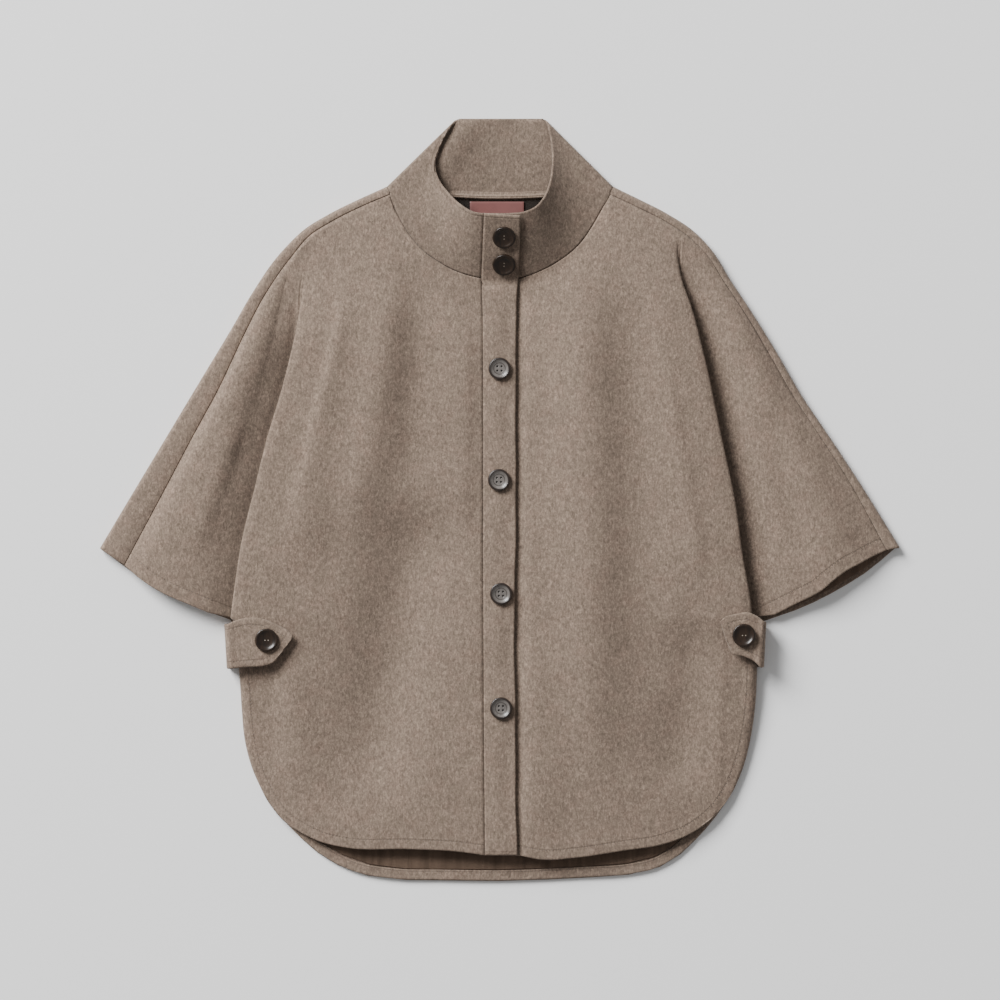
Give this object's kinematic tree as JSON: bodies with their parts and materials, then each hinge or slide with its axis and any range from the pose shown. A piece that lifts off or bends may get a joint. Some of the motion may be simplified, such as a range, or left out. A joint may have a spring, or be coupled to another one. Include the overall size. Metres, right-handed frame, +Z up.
{
  "type": "poncho",
  "caption": "Cape-like wool poncho with a funnel collar, a button placket, wide half sleeves, waist tabs and a rounded hem, laid flat.",
  "frame": {"origin": "centre of the laid-out garment's box, on the surface that it lies on", "axes": "+X across the garment towards the wearer's left, +Y from the hem to the collar, +Z up from the surface"},
  "size_m": [0.7995, 0.7624, 0.0468],
  "materials": {
    "wool": "felted taupe wool, matte, heathered",
    "lining": "dark brown woven lining, slight sheen",
    "label": "dusty pink woven ribbon, satin",
    "dark_button": "polished dark brown horn look",
    "grey_button": "satin grey shell look with a dark rim"
  },
  "bodies": {
    "root": {"back": "wool", "back_edge_right": "wool", "back_edge_left": "wool", "front_right": "wool", "front_left": "wool", "collar": "wool", "placket": "wool", "back_lining": "lining", "back_hem_facing": "wool", "neck_label": "label", "tab_right": "wool", "tab_left": "wool", "collar_button_1": "dark_button", "collar_button_2": "dark_button", "front_button_1": "grey_button", "front_button_2": "grey_button", "front_button_3": "grey_button", "front_button_4": "grey_button", "tab_button_right": "dark_button", "tab_button_left": "dark_button"}
  },
  "joints": []
}
